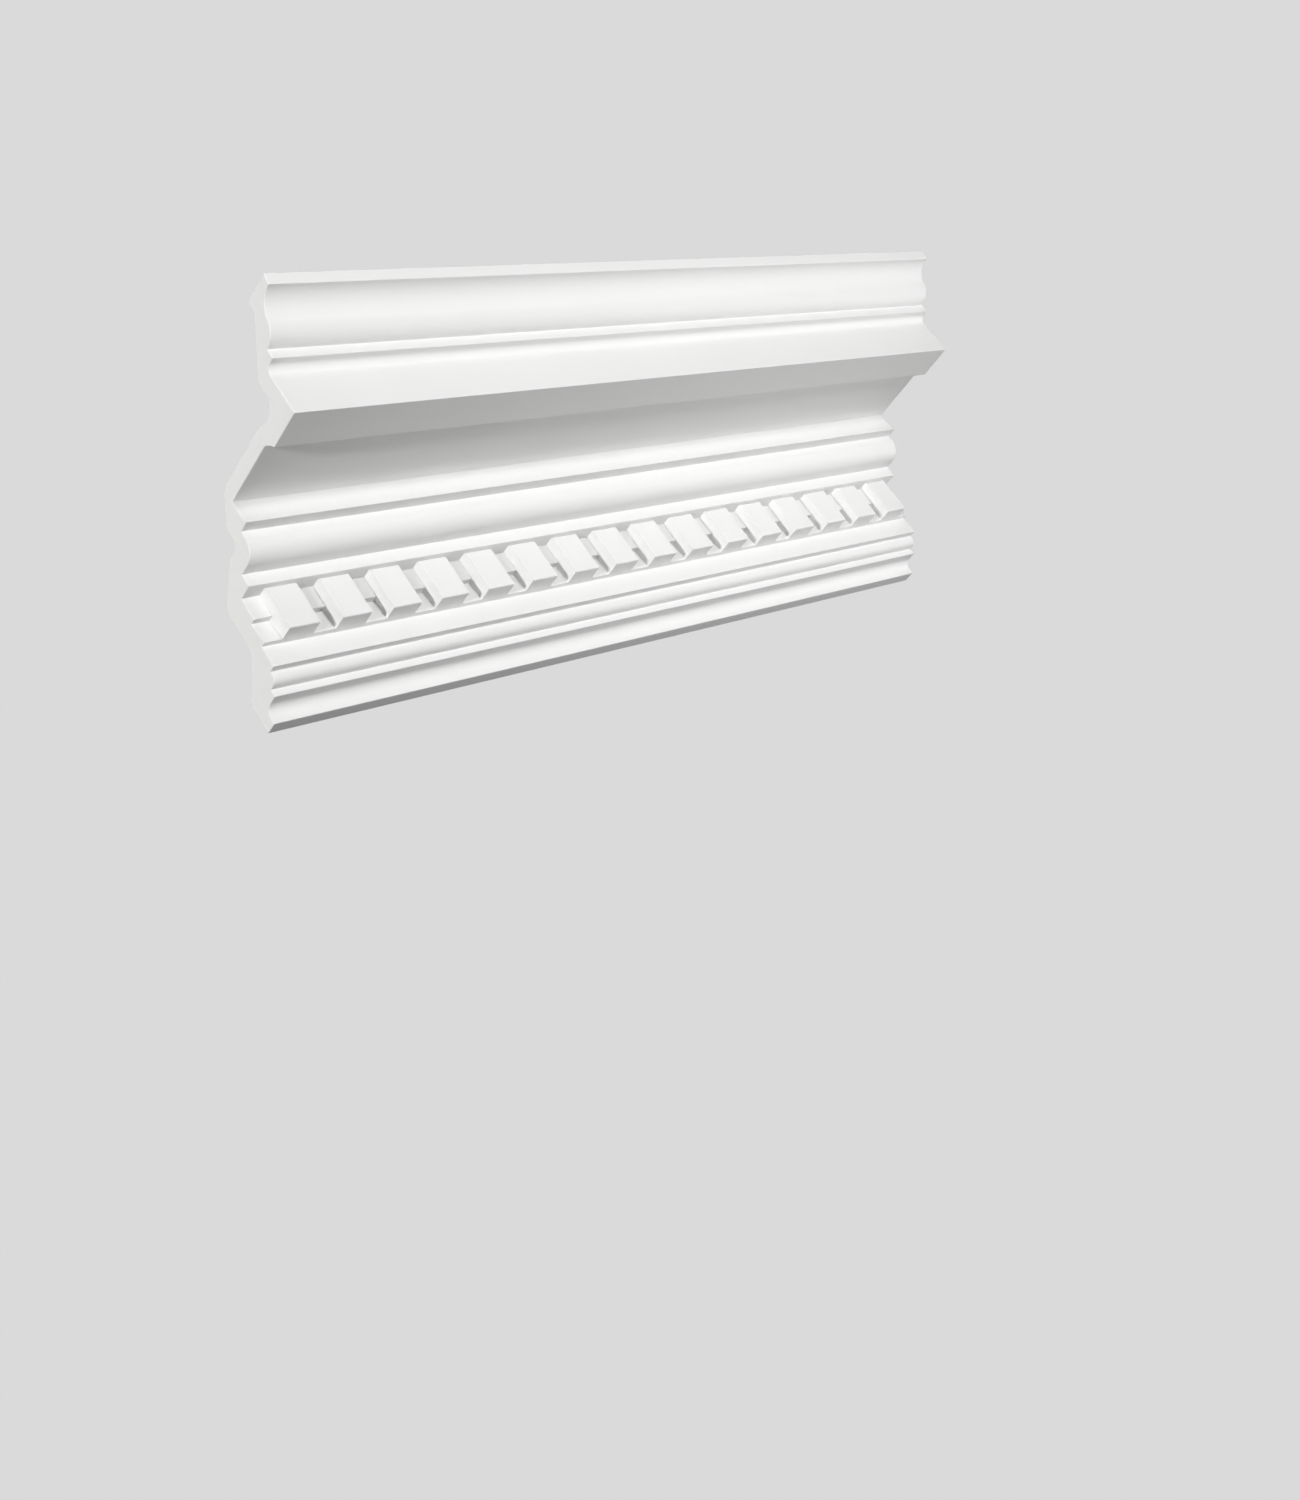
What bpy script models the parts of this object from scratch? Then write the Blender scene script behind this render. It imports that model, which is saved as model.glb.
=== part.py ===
"""
Length of dentil cornice moulding, cast in one piece of rigid white foam.

It is drawn as it is fixed up: X runs along the wall, +Y points into the wall and +Z up to the ceiling.
The origin is the middle of the narrow strip that is glued to the wall.
Section sizes are given as out, away from the wall, and up. All sizes are in metres.
"""
import math

import bpy
import bmesh

# Length of the piece and its run of dentils
LENGTH = 0.568
FIRST_DENTIL = 0.0115
DENTIL_WIDTH = 0.020
DENTIL_GAP = 0.015

# Bottom edge, hollow, small fillet and small round, from the wall outwards
WALL_STRIP = 0.019
BOTTOM_EDGE_OUT = 0.0085
HOLLOW_OUT = 0.0115
HOLLOW_UP = 0.009
HOLLOW_RADIUS = 0.006
SMALL_FILLET_UP = 0.0045
SMALL_ROUND_OUT = 0.007
SMALL_ROUND_UP = 0.0065
SMALL_ROUND_RADIUS = 0.005

# Plain band under the dentils
PLAIN_BAND_STEP = 0.0045
PLAIN_BAND_UP = 0.013

# Dentil course: in each gap a bar above, and below it a sunk panel that leans out at its foot
BAR_STEP = 0.006
BAR_UP = 0.014
PANEL_DEPTH = 0.004
PANEL_LEAN = 0.0016
PANEL_UP = 0.0135
DENTIL_STEP = 0.0071

# Fillet and big round over the dentils
DENTIL_FILLET_STEP = 0.003
DENTIL_FILLET_UP = 0.008
BIG_ROUND_OUT = 0.017
BIG_ROUND_UP = 0.015
BIG_ROUND_RADIUS = 0.0105

# Hollowed band up to the wide soffit
BAND_STEP = 0.0075
BAND_UP = 0.015
BAND_LEAN = 0.0011
BAND_HOLLOW = 0.0009

# Wide soffit, with a drip at the corona
SOFFIT_OUT = 0.0425
DRIP_OUT = 0.0055
DRIP_DOWN = 0.0058
DRIP_TURN = 25
CORONA_SOFFIT_OUT = 0.0255

# Corona face, the hollow over it and its fillet
CORONA_UP = 0.0298
CORONA_HOLLOW_RADIUS = 0.0045
CORONA_FILLET_STEP = 0.008
CORONA_FILLET_UP = 0.006

# Cyma under the ceiling, round below and hollow above, and the lip
CYMA_ROUND_OUT = 0.012
CYMA_ROUND_UP = 0.00975
CYMA_HOLLOW_OUT = 0.014
CYMA_HOLLOW_UP = 0.01015
LIP_LEAN = 0.0015
LIP_UP = 0.0066

# Thickness of the shell behind the front, and the strip under the ceiling
CEILING_STRIP = 0.0205
HEEL_DOWN = 0.007
CORONA_SHELL = 0.0103
DRIP_SHELL = 0.012
SOFFIT_SHELL = 0.0096
BAND_SHELL = 0.0158
ROUND_SHELL = 0.0117
DENTIL_SHELL = 0.0112
WALL_SLOPE = 39
BACK_CHAMFER = 0.005

# Straight pieces in each curve of the section, and how far a cutter stands clear of the foam
CURVE_PIECES = 8
CUTTER_CLEARANCE = 0.002

# Finish
FOAM_COLOUR = (0.86, 0.86, 0.85, 1.0)
FOAM_ROUGHNESS = 0.6
SMOOTH_ANGLE = 35

DENTIL_PITCH = DENTIL_WIDTH + DENTIL_GAP


class Section:
    """A path of (out, up) points in which each stretch starts where the last one ended."""

    def __init__(self, out, up):
        self.points = [(out, up)]

    @property
    def out(self):
        return self.points[-1][0]

    @property
    def up(self):
        return self.points[-1][1]

    def line(self, out=0.0, up=0.0):
        """A straight stretch."""
        self.points.append((self.out + out, self.up + up))

    def line_to(self, out, up):
        """A straight stretch to a given point."""
        self.points.append((out, up))

    def arc(self, out, up, turn):
        """A round stretch to (out, up) from the last point that turns left by so many degrees."""
        start_out, start_up = self.points[-1]
        half = math.radians(turn) / 2
        chord = math.hypot(out, up)
        radius = chord / (2 * math.sin(half))
        heading = math.atan2(up, out) - half
        for piece in range(1, CURVE_PIECES + 1):
            turned = half * piece / CURVE_PIECES
            reach = 2 * radius * math.sin(turned)
            towards = heading + turned
            self.points.append((start_out + reach * math.cos(towards), start_up + reach * math.sin(towards)))

    def round_level_first(self, out, up, radius):
        """Goes level, then turns up round a quarter circle."""
        self.line(out=out - radius)
        self.arc(radius, radius, 90)
        self.line(up=up - radius)

    def round_plumb_first(self, out, up, radius):
        """Goes up, then turns level round a quarter circle."""
        self.line(up=up - radius)
        self.arc(radius, radius, -90)
        self.line(out=out - radius)


def draw_front():
    """The front of the section through a dentil, from the wall's edge up to the lip, and its key places."""
    front = Section(0.0, 0.0)
    places = {}
    front.line(out=BOTTOM_EDGE_OUT)
    front.round_plumb_first(HOLLOW_OUT, HOLLOW_UP, HOLLOW_RADIUS)
    front.line(up=SMALL_FILLET_UP)
    front.round_level_first(SMALL_ROUND_OUT, SMALL_ROUND_UP, SMALL_ROUND_RADIUS)
    front.line(out=PLAIN_BAND_STEP)
    front.line(up=PLAIN_BAND_UP)

    places["bar_out"] = front.out + BAR_STEP
    places["panel_out"] = places["bar_out"] - PANEL_DEPTH
    places["panel_bottom"] = front.up
    places["panel_top"] = front.up + PANEL_UP
    places["bar_top"] = places["panel_top"] + BAR_UP
    places["dentil_out"] = places["bar_out"] + DENTIL_STEP
    front.line_to(places["dentil_out"], front.up)
    front.line_to(places["dentil_out"], places["bar_top"])

    front.line(out=DENTIL_FILLET_STEP)
    front.line(up=DENTIL_FILLET_UP)
    places["round_bottom"] = front.up
    front.round_level_first(BIG_ROUND_OUT, BIG_ROUND_UP, BIG_ROUND_RADIUS)
    places["round_out"] = front.out
    places["round_top"] = front.up

    front.line(out=BAND_STEP)
    places["band_out"] = front.out
    hollow_turn = math.degrees(8 * BAND_HOLLOW / BAND_UP)
    front.arc(-BAND_LEAN, BAND_UP, -hollow_turn)
    places["soffit_in"] = front.out
    places["soffit_up"] = front.up

    front.line(out=SOFFIT_OUT)
    front.arc(DRIP_OUT, -DRIP_DOWN, -DRIP_TURN)
    places["drip_out"] = front.out
    places["drip_up"] = front.up
    front.line(out=CORONA_SOFFIT_OUT)
    places["corona_out"] = front.out

    front.round_plumb_first(CORONA_FILLET_STEP, CORONA_UP, CORONA_HOLLOW_RADIUS)
    front.line(up=CORONA_FILLET_UP)
    front.arc(CYMA_ROUND_OUT, CYMA_ROUND_UP, level_turn(CYMA_ROUND_OUT, CYMA_ROUND_UP))
    front.arc(CYMA_HOLLOW_OUT, CYMA_HOLLOW_UP, -level_turn(CYMA_HOLLOW_OUT, CYMA_HOLLOW_UP))
    front.line(out=LIP_LEAN, up=LIP_UP)
    places["lip_out"] = front.out
    places["lip_up"] = front.up
    return front, places


def level_turn(out, up):
    """The turn of a round stretch that is level at one end."""
    return 2 * math.degrees(math.atan2(up, out))


def draw_back(section, places):
    """The back of the shell, from the ceiling down to the wall, drawn on from the lip."""
    heel_out = places["lip_out"] - CEILING_STRIP
    heel_up = places["lip_up"] - HEEL_DOWN
    corona_back = places["corona_out"] - CORONA_SHELL
    drip_back = places["drip_up"] + DRIP_SHELL
    soffit_back = places["soffit_up"] + SOFFIT_SHELL
    band_back = places["band_out"] - BAND_SHELL
    round_back = places["round_bottom"] + ROUND_SHELL
    dentil_back = places["panel_out"] - DENTIL_SHELL
    soffit_end = places["soffit_in"]

    section.line_to(heel_out, places["lip_up"])
    section.line_to(heel_out, heel_up)
    section.line_to(corona_back, heel_up - (heel_out - corona_back))
    section.line_to(corona_back, drip_back + BACK_CHAMFER)
    section.line_to(places["drip_out"] + BACK_CHAMFER, drip_back)
    section.line_to(places["drip_out"] - BACK_CHAMFER / 2, soffit_back)
    section.line_to(soffit_end, soffit_back)
    section.line_to(band_back, soffit_back - (soffit_end - band_back))
    section.line_to(band_back, round_back + BACK_CHAMFER)
    section.line_to(band_back - BACK_CHAMFER, round_back)
    section.line_to(places["dentil_out"], round_back)
    section.line_to(dentil_back, places["bar_top"] + BACK_CHAMFER)
    section.line_to(dentil_back, WALL_STRIP + dentil_back * math.tan(math.radians(WALL_SLOPE)))
    section.line_to(0.0, WALL_STRIP)


def sweep(name, outline, start, length):
    """A closed solid: the outline of (out, up) points swept along X."""
    shape = bmesh.new()
    ring = [shape.verts.new((start, -out, up - WALL_STRIP / 2)) for out, up in outline]
    swept = bmesh.ops.extrude_face_region(shape, geom=[shape.faces.new(ring)])
    far_ring = [item for item in swept["geom"] if isinstance(item, bmesh.types.BMVert)]
    bmesh.ops.translate(shape, vec=(length, 0.0, 0.0), verts=far_ring)
    bmesh.ops.recalc_face_normals(shape, faces=shape.faces)
    mesh = bpy.data.meshes.new(name)
    shape.to_mesh(mesh)
    shape.free()
    solid = bpy.data.objects.new(name, mesh)
    bpy.context.scene.collection.objects.link(solid)
    return solid


def make_foam():
    """The white skin of the foam."""
    foam = bpy.data.materials.new("white_foam")
    foam.use_nodes = True
    finish = foam.node_tree.nodes["Principled BSDF"]
    finish.inputs["Base Color"].default_value = FOAM_COLOUR
    finish.inputs["Roughness"].default_value = FOAM_ROUGHNESS
    finish.inputs["Metallic"].default_value = 0.0
    return foam


def make_gap_cutter(places):
    """What is cut away between dentils, repeated from before the left end to past the right end."""
    bottom = places["panel_bottom"] - CUTTER_CLEARANCE
    outside = places["dentil_out"] + CUTTER_CLEARANCE
    foot = places["panel_out"] + PANEL_LEAN
    outline = [
        (places["panel_out"], places["panel_top"]),
        (foot, places["panel_bottom"]),
        (foot, bottom),
        (outside, bottom),
        (outside, places["bar_top"]),
        (places["bar_out"], places["bar_top"]),
        (places["bar_out"], places["panel_top"]),
    ]
    first_gap = -LENGTH / 2 + FIRST_DENTIL - DENTIL_GAP
    cutter = sweep("gap_cutter", outline, first_gap, DENTIL_GAP)
    repeat = cutter.modifiers.new("repeat", "ARRAY")
    repeat.count = math.ceil((LENGTH - FIRST_DENTIL) / DENTIL_PITCH) + 1
    repeat.use_relative_offset = False
    repeat.use_constant_offset = True
    repeat.constant_offset_displace = (DENTIL_PITCH, 0.0, 0.0)
    cutter.hide_render = True
    cutter.display_type = "WIRE"
    return cutter


def make_cornice():
    """The whole moulding, with the gaps between its dentils cut out."""
    section, places = draw_front()
    draw_back(section, places)
    cornice = sweep("cornice_moulding", section.points, -LENGTH / 2, LENGTH)
    cornice.data.materials.append(make_foam())
    cornice.data.shade_smooth()
    cornice.data.set_sharp_from_angle(angle=math.radians(SMOOTH_ANGLE))
    gaps = cornice.modifiers.new("gaps", "BOOLEAN")
    gaps.operation = "DIFFERENCE"
    gaps.object = make_gap_cutter(places)


def clear_scene():
    """Removes whatever the scene holds."""
    for item in list(bpy.data.objects):
        bpy.data.objects.remove(item, do_unlink=True)


clear_scene()
make_cornice()
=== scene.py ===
"""
Looks of a dentil cornice moulding: one length of white primed foam, cut square at both ends.

Everything is in metres in the frame's own axes: X along the moulding, +Y into the wall and +Z up to
the ceiling. Section sizes are given as out, away from the wall, and up from the bottom edge.
"""
import math

import bmesh
import bpy
from mathutils import Euler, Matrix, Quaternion, Vector


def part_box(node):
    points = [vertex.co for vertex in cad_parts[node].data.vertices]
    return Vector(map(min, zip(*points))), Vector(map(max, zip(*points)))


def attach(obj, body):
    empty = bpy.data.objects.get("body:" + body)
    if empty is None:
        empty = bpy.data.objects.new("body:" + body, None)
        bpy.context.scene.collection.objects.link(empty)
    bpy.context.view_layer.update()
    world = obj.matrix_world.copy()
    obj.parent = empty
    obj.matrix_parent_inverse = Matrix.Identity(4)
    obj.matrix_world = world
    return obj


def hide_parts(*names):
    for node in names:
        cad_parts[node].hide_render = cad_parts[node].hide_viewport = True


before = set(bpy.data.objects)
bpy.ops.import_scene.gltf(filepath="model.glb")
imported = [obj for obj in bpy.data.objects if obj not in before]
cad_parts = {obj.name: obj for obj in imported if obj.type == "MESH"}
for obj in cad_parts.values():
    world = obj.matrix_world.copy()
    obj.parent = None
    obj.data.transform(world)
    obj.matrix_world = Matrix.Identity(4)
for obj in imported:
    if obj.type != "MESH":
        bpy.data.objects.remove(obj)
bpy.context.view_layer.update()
low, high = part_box("cornice_moulding")

# Dentils
FIRST_DENTIL = 0.0115
DENTIL_WIDTH = 0.020
DENTIL_PITCH = 0.035
DENTIL_ROOT = 0.0015
DENTIL_HEAD_OUT = 0.001
DENTIL_HEAD_DOWN = 0.0011
DENTIL_HEAD_NECK = 0.0003
DENTIL_ARRIS = 0.0009
DENTIL_FOOT_ARRIS = 0.00099

# Bottom edge, hollow, small fillet, small round and plain band
WALL_STRIP = 0.019
BOTTOM_EDGE_OUT = 0.0085
HOLLOW_OUT = 0.0115
HOLLOW_UP = 0.009
HOLLOW_RADIUS = 0.006
SMALL_FILLET_UP = 0.0045
SMALL_ROUND_OUT = 0.007
SMALL_ROUND_UP = 0.0065
SMALL_ROUND_RADIUS = 0.005
PLAIN_BAND_STEP = 0.0045
PLAIN_BAND_UP = 0.013

# Dentil course, its fillet and the big round
BAR_STEP = 0.006
BAR_UP = 0.014
PANEL_DEPTH = 0.004
PANEL_LEAN = 0.0016
PANEL_UP = 0.0135
DENTIL_STEP = 0.0071
DENTIL_FILLET_STEP = 0.003
DENTIL_FILLET_UP = 0.008
BIG_ROUND_OUT = 0.017
BIG_ROUND_UP = 0.015
BIG_ROUND_RADIUS = 0.0105

# Hollowed band, soffit, drip and corona
BAND_STEP = 0.0075
BAND_UP = 0.015
BAND_LEAN = 0.0011
BAND_HOLLOW = 0.0009
SOFFIT_OUT = 0.0425
DRIP_OUT = 0.0055
DRIP_DOWN = 0.0058
DRIP_TURN = 25
CORONA_SOFFIT_OUT = 0.0255
CORONA_UP = 0.0298
CORONA_HOLLOW_RADIUS = 0.0045
CORONA_FILLET_STEP = 0.008
CORONA_FILLET_UP = 0.006

# Cyma and lip
CYMA_ROUND_OUT = 0.012
CYMA_ROUND_UP = 0.00975
CYMA_HOLLOW_OUT = 0.014
CYMA_HOLLOW_UP = 0.01015
LIP_LEAN = 0.0015
LIP_UP = 0.0066

# Back of the shell
CEILING_STRIP = 0.0205
HEEL_DOWN = 0.007
CORONA_SHELL = 0.0103
DRIP_SHELL = 0.012
SOFFIT_SHELL = 0.0096
BAND_SHELL = 0.0158
ROUND_SHELL = 0.0117
DENTIL_SHELL = 0.0112
WALL_SLOPE = 39
BACK_CHAMFER = 0.005

# How round the cast edges are, how narrow the chamfer of the cut ends is, and how finely curves are drawn
ARRIS = 0.00045
INNER_CORNER = 0.0003
LIP_ARRIS = 0.0006
CUT_ARRIS = 0.00035
BACK_CORNER = 0.003
BACK_CORNER_SMALL = 0.0012
STEPS_PER_DEGREE = 20 / 90
FEWEST_STEPS = 4
CORNER_STEPS = 3
SMOOTH_ANGLE = 35
STARTER_SIZE = 0.001
SAME_PLACE = 0.00002
GRID_DIGITS = 7

# Camera of the photograph, in the frame's axes: metres, degrees, millimetres for the lens, and a
# shift given as a share of the picture's height
CAMERA_PLACE = (-0.8876, -0.7577, -0.4268)
CAMERA_HEADING = 51.98
CAMERA_TILT = 22.425
CAMERA_ROLL = -35.887
CAMERA_LENS = 47.741
CAMERA_SHIFT = -0.1533

# Soft studio light. Each light's place is its distance from the middle of the moulding and the
# direction it comes from: degrees round to the left of the front, and degrees above level.
SKY_LIGHT = 0.004
SKY_SEEN = 0.70
LIGHTS = {
    "key_light": {"left": 67, "above": -6, "distance": 5.0, "size": 0.3, "power": 167},
    "front_light": {"left": 6, "above": -4, "distance": 1.5, "size": 0.3, "power": 12.7},
    "right_light": {"left": -85, "above": -12, "distance": 2.4, "size": 1.0, "power": 30},
    "low_light": {"left": -40, "above": -55, "distance": 0.6, "size": 0.3, "power": 0.82},
    "end_light": {"left": 100, "above": 15, "distance": 2.0, "size": 0.7, "power": 5},
    "back_light": {"left": 150, "above": 40, "distance": 1.8, "size": 1.2, "power": 25},
    "far_back_light": {"left": -140, "above": 25, "distance": 1.8, "size": 1.2, "power": 16},
}
FLOOR_DROP = 2.4
FLOOR_RADIUS = 3.6


class Outline:
    """A closed outline drawn in edit mode, stretch by stretch, in the plane of a square cut."""

    def __init__(self, name, x, out, up):
        self.out = out
        self.up = up
        self.corners = {}
        deselect_all()
        bpy.ops.mesh.primitive_plane_add(size=STARTER_SIZE, location=place(x, out, up))
        self.piece = bpy.context.object
        self.piece.name = name
        self.piece.data.name = name
        bpy.ops.object.transform_apply(location=True, rotation=True, scale=True)
        bpy.ops.object.mode_set(mode="EDIT")
        bpy.ops.mesh.select_all(action="SELECT")
        bpy.ops.mesh.merge(type="CENTER")

    def corner(self, radius):
        """Notes that the corner at the pen's place is to be rounded."""
        self.corners.setdefault(radius, []).append((self.out, self.up))

    def line(self, out=0.0, up=0.0, corner=0.0):
        """A straight stretch, and the rounding of the corner where it ends."""
        bpy.ops.mesh.extrude_vertices_move(TRANSFORM_OT_translate={"value": (0.0, -out, up)})
        self.out += out
        self.up += up
        if corner:
            self.corner(corner)

    def line_to(self, out, up, corner=0.0):
        """A straight stretch to a given point."""
        self.line(out - self.out, up - self.up, corner)

    def arc(self, out, up, turn, corner=0.0):
        """A round stretch that ends (out, up) further on and turns left by so many degrees."""
        half = math.radians(turn) / 2
        radius = math.hypot(out, up) / (2 * math.sin(half))
        heading = math.atan2(up, out) - half
        centre = place(0.0, self.out - radius * math.sin(heading), self.up + radius * math.cos(heading))
        steps = max(FEWEST_STEPS, round(abs(turn) * STEPS_PER_DEGREE))
        bpy.ops.mesh.spin(steps=steps, angle=math.radians(turn), center=centre, axis=(1.0, 0.0, 0.0))
        self.out += out
        self.up += up
        if corner:
            self.corner(corner)

    def round_level_first(self, out, up, radius, corner=0.0):
        """Goes level, then turns up round a quarter circle."""
        self.line(out=out - radius)
        self.arc(radius, radius, 90)
        self.line(up=up - radius, corner=corner)

    def round_plumb_first(self, out, up, radius, corner=0.0):
        """Goes up, then turns level round a quarter circle."""
        self.line(up=up - radius)
        self.arc(radius, radius, -90)
        self.line(out=out - radius, corner=corner)

    def close(self):
        """Fills the outline with one face and rounds its corners."""
        bpy.ops.mesh.select_all(action="SELECT")
        bpy.ops.mesh.remove_doubles(threshold=SAME_PLACE / 10)
        bpy.ops.mesh.edge_face_add()
        for radius, corners in self.corners.items():
            places = [Vector(place(0.0, out, up)).yz for out, up in corners]
            select_vertices(self.piece, lambda spot: any((spot.yz - here).length < SAME_PLACE
                                                         for here in places))
            bpy.ops.mesh.bevel(offset=radius, segments=CORNER_STEPS, affect="VERTICES")

    def sweep(self, length):
        """Pulls the face out along X into a closed solid and leaves edit mode."""
        bpy.ops.mesh.select_all(action="SELECT")
        bpy.ops.mesh.extrude_region_move(TRANSFORM_OT_translate={"value": (length, 0.0, 0.0)})
        bpy.ops.mesh.select_all(action="SELECT")
        bpy.ops.mesh.normals_make_consistent(inside=False)
        bpy.ops.object.mode_set(mode="OBJECT")
        return self.piece


def deselect_all():
    """Leaves nothing selected, in object mode."""
    for item in bpy.context.selected_objects:
        item.select_set(False)


def place(x, out, up):
    """A point of the frame: out from the wall plane and up from the bottom edge."""
    return (x, high.y - out, low.z + up)


def select_vertices(piece, wanted):
    """In edit mode, selects only the vertices whose places are wanted."""
    bpy.ops.mesh.select_mode(type="VERT")
    bpy.ops.mesh.select_all(action="DESELECT")
    shape = bmesh.from_edit_mesh(piece.data)
    for vertex in shape.verts:
        vertex.select = wanted(vertex.co)
    shape.select_flush_mode()
    bmesh.update_edit_mesh(piece.data)


def select_faces(piece, wanted):
    """In edit mode, selects only the faces that are wanted."""
    bpy.ops.mesh.select_mode(type="FACE")
    bpy.ops.mesh.select_all(action="DESELECT")
    shape = bmesh.from_edit_mesh(piece.data)
    for face in shape.faces:
        face.select = wanted(face)
    bmesh.update_edit_mesh(piece.data)


def select_edges(piece, wanted):
    """In edit mode, selects only the edges whose two ends are wanted."""
    bpy.ops.mesh.select_mode(type="EDGE")
    bpy.ops.mesh.select_all(action="DESELECT")
    shape = bmesh.from_edit_mesh(piece.data)
    for edge in shape.edges:
        edge.select = wanted(*(vertex.co for vertex in edge.verts))
    bmesh.update_edit_mesh(piece.data)


def apply_modifier(piece, kind, **settings):
    """Adds a modifier with these settings and applies it."""
    deselect_all()
    piece.select_set(True)
    bpy.context.view_layer.objects.active = piece
    step = piece.modifiers.new(kind.lower(), kind)
    for name, value in settings.items():
        setattr(step, name, value)
    bpy.ops.object.modifier_apply(modifier=step.name)


def snap(piece):
    """Moves every vertex to a fine grid, so that faces meant to be in one plane are exactly so."""
    for vertex in piece.data.vertices:
        vertex.co = [round(value, GRID_DIGITS) for value in vertex.co]


def level_turn(out, up):
    """The turn of a round stretch that is level at one end."""
    return 2 * math.degrees(math.atan2(up, out))


def shallow_turn(depth, length):
    """The turn of a shallow hollow of this depth and length."""
    return math.degrees(8 * depth / length)


def draw_front(pen):
    """The front of the section between two dentils, from the wall's edge up to the lip."""
    key = {}
    pen.line(out=BOTTOM_EDGE_OUT, corner=ARRIS)
    pen.round_plumb_first(HOLLOW_OUT, HOLLOW_UP, HOLLOW_RADIUS, corner=ARRIS)
    pen.line(up=SMALL_FILLET_UP, corner=INNER_CORNER)
    pen.round_level_first(SMALL_ROUND_OUT, SMALL_ROUND_UP, SMALL_ROUND_RADIUS, corner=INNER_CORNER)
    pen.line(out=PLAIN_BAND_STEP, corner=ARRIS)
    pen.line(up=PLAIN_BAND_UP, corner=INNER_CORNER)

    key["bar_out"] = pen.out + BAR_STEP
    key["panel_out"] = key["bar_out"] - PANEL_DEPTH
    key["panel_bottom"] = pen.up
    pen.line_to(key["panel_out"] + PANEL_LEAN, pen.up, corner=ARRIS)
    pen.line_to(key["panel_out"], pen.up + PANEL_UP, corner=INNER_CORNER)
    pen.line_to(key["bar_out"], pen.up, corner=ARRIS)
    pen.line(up=BAR_UP, corner=INNER_CORNER)
    key["bar_top"] = pen.up
    key["dentil_out"] = key["bar_out"] + DENTIL_STEP
    pen.line_to(key["dentil_out"] + DENTIL_FILLET_STEP, pen.up, corner=ARRIS)

    pen.line(up=DENTIL_FILLET_UP, corner=INNER_CORNER)
    key["round_bottom"] = pen.up
    pen.round_level_first(BIG_ROUND_OUT, BIG_ROUND_UP, BIG_ROUND_RADIUS, corner=INNER_CORNER)
    pen.line(out=BAND_STEP, corner=ARRIS)
    key["band_out"] = pen.out
    pen.arc(-BAND_LEAN, BAND_UP, -shallow_turn(BAND_HOLLOW, BAND_UP), corner=INNER_CORNER)
    key["soffit_in"] = pen.out
    key["soffit_up"] = pen.up

    pen.line(out=SOFFIT_OUT, corner=INNER_CORNER)
    pen.arc(DRIP_OUT, -DRIP_DOWN, -DRIP_TURN, corner=ARRIS)
    key["drip_out"] = pen.out
    key["drip_up"] = pen.up
    pen.line(out=CORONA_SOFFIT_OUT, corner=ARRIS)
    key["corona_out"] = pen.out
    pen.round_plumb_first(CORONA_FILLET_STEP, CORONA_UP, CORONA_HOLLOW_RADIUS, corner=ARRIS)
    pen.line(up=CORONA_FILLET_UP, corner=INNER_CORNER)
    pen.arc(CYMA_ROUND_OUT, CYMA_ROUND_UP, level_turn(CYMA_ROUND_OUT, CYMA_ROUND_UP))
    pen.arc(CYMA_HOLLOW_OUT, CYMA_HOLLOW_UP, -level_turn(CYMA_HOLLOW_OUT, CYMA_HOLLOW_UP), corner=ARRIS)
    pen.line(out=LIP_LEAN, up=LIP_UP, corner=LIP_ARRIS)
    key["lip_out"] = pen.out
    key["lip_up"] = pen.up
    return key


def draw_back(pen, key):
    """The back of the shell, from the ceiling down to the wall, with soft corners."""
    heel_out = key["lip_out"] - CEILING_STRIP
    heel_up = key["lip_up"] - HEEL_DOWN
    corona_back = key["corona_out"] - CORONA_SHELL
    drip_back = key["drip_up"] + DRIP_SHELL
    soffit_back = key["soffit_up"] + SOFFIT_SHELL
    band_back = key["band_out"] - BAND_SHELL
    round_back = key["round_bottom"] + ROUND_SHELL
    dentil_back = key["panel_out"] - DENTIL_SHELL
    wall_top = WALL_STRIP + dentil_back * math.tan(math.radians(WALL_SLOPE))

    pen.line_to(heel_out, key["lip_up"], BACK_CORNER_SMALL)
    pen.line_to(heel_out, heel_up, BACK_CORNER)
    pen.line_to(corona_back, heel_up - (heel_out - corona_back), BACK_CORNER)
    pen.line_to(corona_back, drip_back + BACK_CHAMFER, BACK_CORNER)
    pen.line_to(key["drip_out"] + BACK_CHAMFER, drip_back, BACK_CORNER)
    pen.line_to(key["drip_out"] - BACK_CHAMFER / 2, soffit_back, BACK_CORNER)
    pen.line_to(key["soffit_in"], soffit_back, BACK_CORNER)
    pen.line_to(band_back, soffit_back - (key["soffit_in"] - band_back), BACK_CORNER)
    pen.line_to(band_back, round_back + BACK_CHAMFER, BACK_CORNER_SMALL)
    pen.line_to(band_back - BACK_CHAMFER, round_back, BACK_CORNER_SMALL)
    pen.line_to(key["dentil_out"], round_back, BACK_CORNER_SMALL)
    pen.line_to(dentil_back, key["bar_top"] + BACK_CHAMFER, BACK_CORNER)
    pen.line_to(dentil_back, wall_top, BACK_CORNER)
    pen.line_to(0.0, WALL_STRIP, BACK_CORNER_SMALL)


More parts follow.
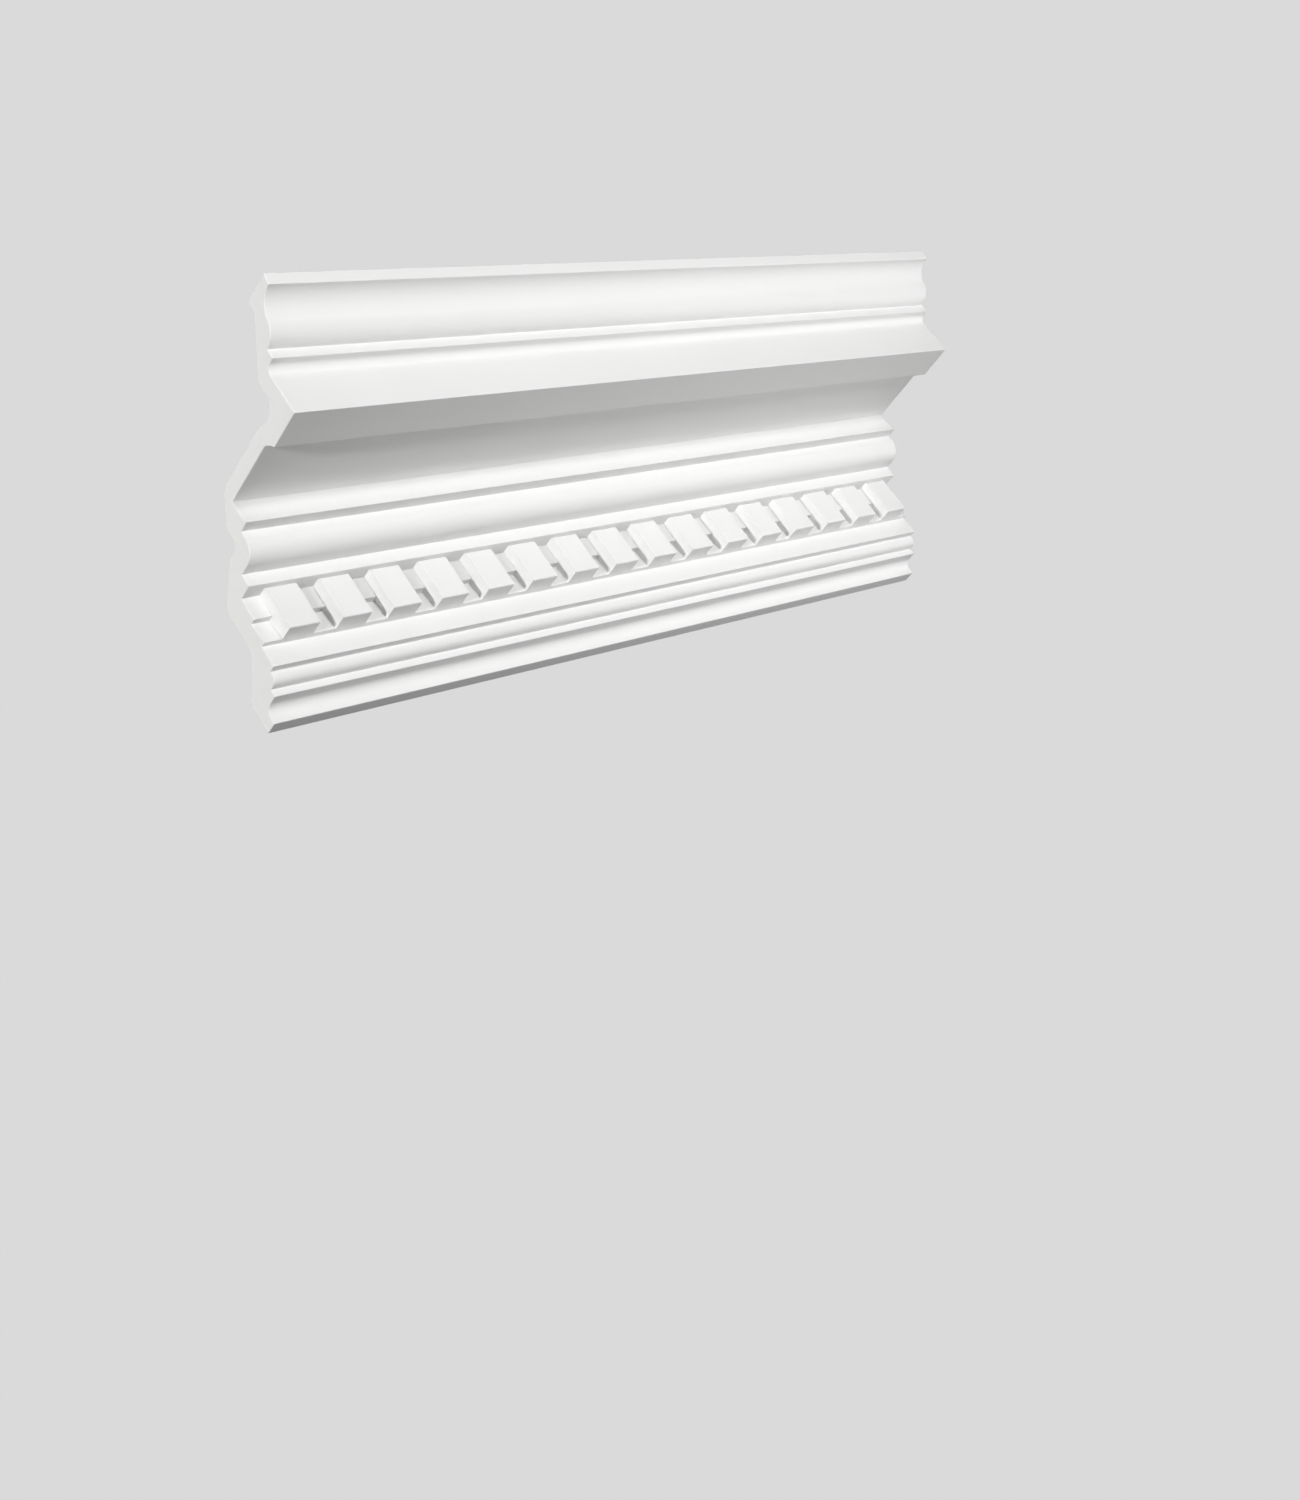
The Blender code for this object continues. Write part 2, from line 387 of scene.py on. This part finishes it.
def make_dentils(key, count):
    """The row of blocks, each rounded on its outer edges and rooted in the panel behind it."""
    left = low.x + FIRST_DENTIL
    root = key["panel_out"] - DENTIL_ROOT
    pen = Outline("dentils", left, root, key["panel_bottom"])
    pen.line_to(key["dentil_out"], key["panel_bottom"], corner=DENTIL_FOOT_ARRIS)
    pen.line_to(key["dentil_out"], key["bar_top"] - DENTIL_HEAD_NECK - DENTIL_HEAD_DOWN)
    pen.arc(-DENTIL_HEAD_OUT, DENTIL_HEAD_DOWN, 90)
    pen.line(up=DENTIL_HEAD_NECK + DENTIL_ROOT)
    pen.line_to(root, pen.up)
    pen.close()
    dentils = pen.sweep(DENTIL_WIDTH)
    snap(dentils)

    bpy.ops.object.mode_set(mode="EDIT")
    inner = high.y - root - SAME_PLACE
    top = low.z + key["bar_top"] + DENTIL_ROOT - SAME_PLACE
    select_edges(dentils, lambda a, b: abs(a.x - b.x) < SAME_PLACE and not (a.y > inner and b.y > inner)
                 and not (a.z > top and b.z > top))
    bpy.ops.mesh.bevel(offset=DENTIL_ARRIS, segments=CORNER_STEPS, affect="EDGES", clamp_overlap=True)
    bpy.ops.object.mode_set(mode="OBJECT")
    apply_modifier(dentils, "ARRAY", count=count, use_relative_offset=False, use_constant_offset=True,
                   constant_offset_displace=(DENTIL_PITCH, 0.0, 0.0))
    return dentils


def make_moulding():
    """The whole moulding as one closed mesh."""
    finishes = [primed_front(), moulded_back(), sawn_end()]
    pen = Outline("cornice", low.x + CUT_ARRIS, 0.0, 0.0)
    pen.corner(ARRIS)
    key = draw_front(pen)
    draw_back(pen, key)
    pen.line_to(0.0, 0.0)
    pen.close()
    moulding = pen.sweep(high.x - low.x - 2 * CUT_ARRIS)
    snap(moulding)
    for finish in finishes:
        moulding.data.materials.append(finish)
    finish_back(moulding)
    count = 1 + int((high.x - low.x - FIRST_DENTIL - DENTIL_WIDTH) / DENTIL_PITCH + 0.001)
    dentils = make_dentils(key, count)
    dentils.data.materials.append(finishes[0])
    apply_modifier(moulding, "BOOLEAN", operation="UNION", object=dentils)
    bpy.data.objects.remove(dentils)
    ease_cut_ends(moulding)
    bpy.ops.object.shade_smooth_by_angle(angle=math.radians(SMOOTH_ANGLE))
    apply_modifier(moulding, "WEIGHTED_NORMAL", keep_sharp=True, weight=100)
    return moulding


def finish_back(piece):
    """Gives the faces that look back to the wall, or up and not forward, the finish of the back."""
    for face in piece.data.polygons:
        rear = face.normal.y > 0.5 and face.normal.z > -0.3
        top = face.normal.y > -0.05 and face.normal.z > 0.1
        if rear or top:
            face.material_index = 1


def ease_cut_ends(piece):
    """Takes the sharpness off both cut ends with a narrow chamfer, and gives them the sawn finish."""
    ends = high.x - CUT_ARRIS - SAME_PLACE
    bpy.ops.object.mode_set(mode="EDIT")
    select_faces(piece, lambda face: abs(face.calc_center_median().x) > ends)
    bpy.ops.mesh.inset(thickness=CUT_ARRIS, depth=CUT_ARRIS)
    bpy.ops.object.mode_set(mode="OBJECT")
    for face in piece.data.polygons:
        if abs(face.center.x) > high.x - SAME_PLACE:
            face.material_index = 2


class Signal:
    """What one node gives out, so that shader maths can be written as sums and products."""

    def __init__(self, finish, socket):
        self.finish = finish
        self.socket = socket

    def maths(self, operation, first, second):
        """One Math node with these two inputs."""
        return self.finish.add("ShaderNodeMath", {"operation": operation}, {0: first, 1: second})

    def __add__(self, other):
        return self.maths("ADD", self, other)

    def __radd__(self, other):
        return self.maths("ADD", other, self)

    def __sub__(self, other):
        return self.maths("SUBTRACT", self, other)

    def __rsub__(self, other):
        return self.maths("SUBTRACT", other, self)

    def __mul__(self, other):
        return self.maths("MULTIPLY", self, other)

    def __rmul__(self, other):
        return self.maths("MULTIPLY", other, self)


class Finish:
    """A material drawn with nodes on Object coordinates, in metres."""

    def __init__(self, name):
        self.material = bpy.data.materials.new(name)
        self.material.use_nodes = True
        self.tree = self.material.node_tree
        self.tree.nodes.clear()
        self.here = self.add("ShaderNodeTexCoord", output="Object")

    def add(self, kind, settings=None, inputs=None, output=0):
        """A node of this kind: its settings first, then its inputs, as values or other nodes' signals."""
        node = self.tree.nodes.new(kind)
        for name, value in (settings or {}).items():
            setattr(node, name, value)
        for name, value in (inputs or {}).items():
            if isinstance(value, Signal):
                self.tree.links.new(value.socket, node.inputs[name])
            else:
                node.inputs[name].default_value = value
        return Signal(self, node.outputs[output])

    def stretched(self, along, out, up):
        """Object coordinates scaled by so much along, out and up."""
        return self.add("ShaderNodeMapping", inputs={"Vector": self.here, "Scale": (along, out, up)})

    def cloud(self, per_metre, detail=2.0, roughness=0.5, where=None):
        """Soft noise from 0 to 1 with so many lumps to the metre."""
        inputs = {"Vector": where or self.here, "Scale": per_metre, "Detail": detail, "Roughness": roughness}
        return self.add("ShaderNodeTexNoise", {"noise_dimensions": "3D"}, inputs)

    def cells(self, per_metre):
        """Distance from the middle of the nearest of many small cells, so many to the metre."""
        inputs = {"Vector": self.here, "Scale": per_metre}
        return self.add("ShaderNodeTexVoronoi", {"feature": "F1"}, inputs, "Distance")

    def ramp(self, signal, low_value, high_value):
        """Goes smoothly from 0 to 1 while the signal goes from the low value to the high one."""
        inputs = {"Value": signal, "From Min": low_value, "From Max": high_value}
        return self.add("ShaderNodeMapRange", {"interpolation_type": "SMOOTHSTEP"}, inputs)

    def blend(self, factor, first, second):
        """The first colour where the factor is 0 and the second where it is 1."""
        return self.add("ShaderNodeMix", {"data_type": "RGBA"}, {0: factor, 6: first, 7: second}, 2)

    def bump(self, height, distance, strength=1.0, below=None):
        """A normal tilted by a height map of this depth, over another if one is given."""
        inputs = {"Height": height, "Distance": distance, "Strength": strength}
        if below:
            inputs["Normal"] = below
        return self.add("ShaderNodeBump", inputs=inputs)

    def surface(self, colour, roughness, normal, sheen=0.5):
        """The surface itself, with as much sheen as given, linked to the material's output."""
        inputs = {"Base Color": colour, "Roughness": roughness, "Normal": normal, "Specular IOR Level": sheen}
        shader = self.add("ShaderNodeBsdfPrincipled", inputs=inputs)
        self.add_output(shader)
        return self.material

    def add_output(self, shader):
        """Links a shader to the material's output."""
        output = self.tree.nodes.new("ShaderNodeOutputMaterial")
        self.tree.links.new(shader.socket, output.inputs["Surface"])


def primed_front():
    """Smooth matt white primer: a faint cloudiness and a spray texture like fine orange peel."""
    finish = Finish("primed_front")
    clouds = finish.cloud(14.0, 3.0)
    spray = finish.cloud(900.0, 2.0, 0.6)
    waves = finish.cloud(60.0, 2.0, where=finish.stretched(0.25, 1.0, 1.0))
    tone = clouds * 0.7 + spray * 0.3
    colour = finish.blend(tone, (0.785, 0.785, 0.778, 1.0), (0.825, 0.825, 0.82, 1.0))
    roughness = 0.56 + 0.12 * clouds + 0.06 * spray
    normal = finish.bump(waves, 0.00008, 0.35)
    normal = finish.bump(spray, 0.00003, 0.3, below=normal)
    return finish.surface(colour, roughness, normal, sheen=0.3)


def moulded_back():
    """The skin against the mould's lid: duller, a little warmer, with flow marks and small pinholes that are
    darkened with painted shade.
    """
    finish = Finish("moulded_back")
    flow = finish.cloud(22.0, 4.0, 0.6, where=finish.stretched(0.35, 1.0, 1.0))
    grain = finish.cloud(1100.0, 2.0, 0.6)
    pinholes_and_painted_shade = 1.0 - finish.ramp(finish.cells(260.0), 0.10, 0.22)
    pinholes_and_painted_shade = pinholes_and_painted_shade * finish.ramp(finish.cloud(40.0, 2.0), 0.48, 0.62)
    colour = finish.blend(flow, (0.70, 0.695, 0.675, 1.0), (0.79, 0.788, 0.77, 1.0))
    # Painted shade: the colour is darker at the pinholes, standing in for the shade inside them; the same
    # mask also dents the bump.
    colour = finish.blend(pinholes_and_painted_shade * 0.35, colour, (0.60, 0.59, 0.56, 1.0))
    roughness = 0.60 + 0.14 * flow + 0.05 * grain
    normal = finish.bump(flow, 0.0006, 0.5)
    normal = finish.bump(grain * 0.4 - pinholes_and_painted_shade, 0.00015, 0.6, below=normal)
    return finish.surface(colour, roughness, normal)


def sawn_end():
    """Foam cut square with a fine saw: tiny open cells darkened with painted shade, and the faint straight
    marks of the teeth.
    """
    finish = Finish("sawn_end")
    cells = finish.cells(1500.0)
    clouds = finish.cloud(60.0, 3.0)
    marks = finish.cloud(30.0, 2.0, where=finish.stretched(1.0, 22.0, 1.5))
    tone = clouds * 0.5 + marks * 0.5
    # The end's colour is darker than the primer's: partly the raw foam's own tone, partly painted shade for
    # the dimmer light falling on the end.
    colour = finish.blend(tone, (0.665, 0.663, 0.65, 1.0), (0.715, 0.713, 0.70, 1.0))
    # Painted shade: darker towards the middle of each open cell, standing in for the shade inside it.
    colour = finish.blend(finish.ramp(cells, 0.45, 0.1) * 0.25, colour, (0.57, 0.565, 0.55, 1.0))
    roughness = 0.70 + 0.15 * clouds
    normal = finish.bump(marks, 0.0001, 0.4)
    normal = finish.bump(cells, 0.00012, 0.5, below=normal)
    return finish.surface(colour, roughness, normal)


def pale_floor():
    """A matt painted studio floor, seen evenly pale but throwing little light back up."""
    finish = Finish("pale_floor")
    clouds = finish.cloud(1.5, 3.0)
    paint = finish.add("ShaderNodeBsdfDiffuse", inputs={"Color": (0.25, 0.25, 0.25, 1.0), "Roughness": 1.0})
    tone = finish.blend(clouds, (0.685, 0.685, 0.68, 1.0), (0.715, 0.715, 0.71, 1.0))
    seen = finish.add("ShaderNodeEmission", inputs={"Color": tone})
    path = finish.add("ShaderNodeLightPath", output="Is Camera Ray")
    finish.add_output(finish.add("ShaderNodeMixShader", inputs={0: path, 1: paint, 2: seen}))
    return finish.material


def add_camera():
    """The photograph's view: from below and from the left, tilted up and turned."""
    lens = bpy.data.cameras.new("camera")
    lens.lens = CAMERA_LENS
    lens.shift_y = CAMERA_SHIFT
    lens.dof.use_dof = False
    camera = bpy.data.objects.new("camera", lens)
    bpy.context.scene.collection.objects.link(camera)
    camera.location = CAMERA_PLACE
    facing = Euler((math.radians(90 + CAMERA_TILT), 0.0, -math.radians(CAMERA_HEADING)))
    roll = Quaternion((0.0, 0.0, 1.0), math.radians(CAMERA_ROLL))
    camera.rotation_mode = "QUATERNION"
    camera.rotation_quaternion = facing.to_quaternion() @ roll
    bpy.context.scene.camera = camera


def add_light(name, left, above, distance, size, power):
    """A round soft light that faces the middle of the moulding."""
    lamp = bpy.data.lights.new(name, "AREA")
    lamp.shape = "DISK"
    lamp.size = size
    lamp.energy = power
    light = bpy.data.objects.new(name, lamp)
    bpy.context.scene.collection.objects.link(light)
    level = math.cos(math.radians(above))
    towards = Vector((-math.sin(math.radians(left)) * level, -math.cos(math.radians(left)) * level,
                      math.sin(math.radians(above))))
    light.location = (low + high) / 2 + towards * distance
    light.rotation_mode = "QUATERNION"
    light.rotation_quaternion = towards.to_track_quat("Z", "Y")
    light.visible_camera = False


def add_sky():
    """Faint even light from all round, seen by the camera as the same pale grey as the floor."""
    sky = bpy.data.worlds.new("studio")
    sky.use_nodes = True
    bpy.context.scene.world = sky
    tree = sky.node_tree
    background = tree.nodes["Background"]
    path = tree.nodes.new("ShaderNodeLightPath")
    strength = tree.nodes.new("ShaderNodeMapRange")
    strength.inputs["To Min"].default_value = SKY_LIGHT
    strength.inputs["To Max"].default_value = SKY_SEEN
    background.inputs["Color"].default_value = (1.0, 1.0, 1.0, 1.0)
    tree.links.new(path.outputs["Is Camera Ray"], strength.inputs["Value"])
    tree.links.new(strength.outputs["Result"], background.inputs["Strength"])


def add_floor():
    """A plain pale floor, as far below the cornice as a room's floor."""
    deselect_all()
    bpy.ops.mesh.primitive_circle_add(vertices=128, radius=FLOOR_RADIUS, fill_type="NGON",
                                      location=(0.0, 0.0, low.z - FLOOR_DROP))
    floor = bpy.context.object
    floor.name = "floor"
    bpy.ops.object.transform_apply(location=True, rotation=True, scale=True)
    floor.data.materials.append(pale_floor())


bpy.context.scene.view_settings.view_transform = "Standard"
add_camera()
add_sky()
add_floor()
for name, settings in LIGHTS.items():
    add_light(name, **settings)

moulding = make_moulding()
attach(moulding, "root")
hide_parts("cornice_moulding")
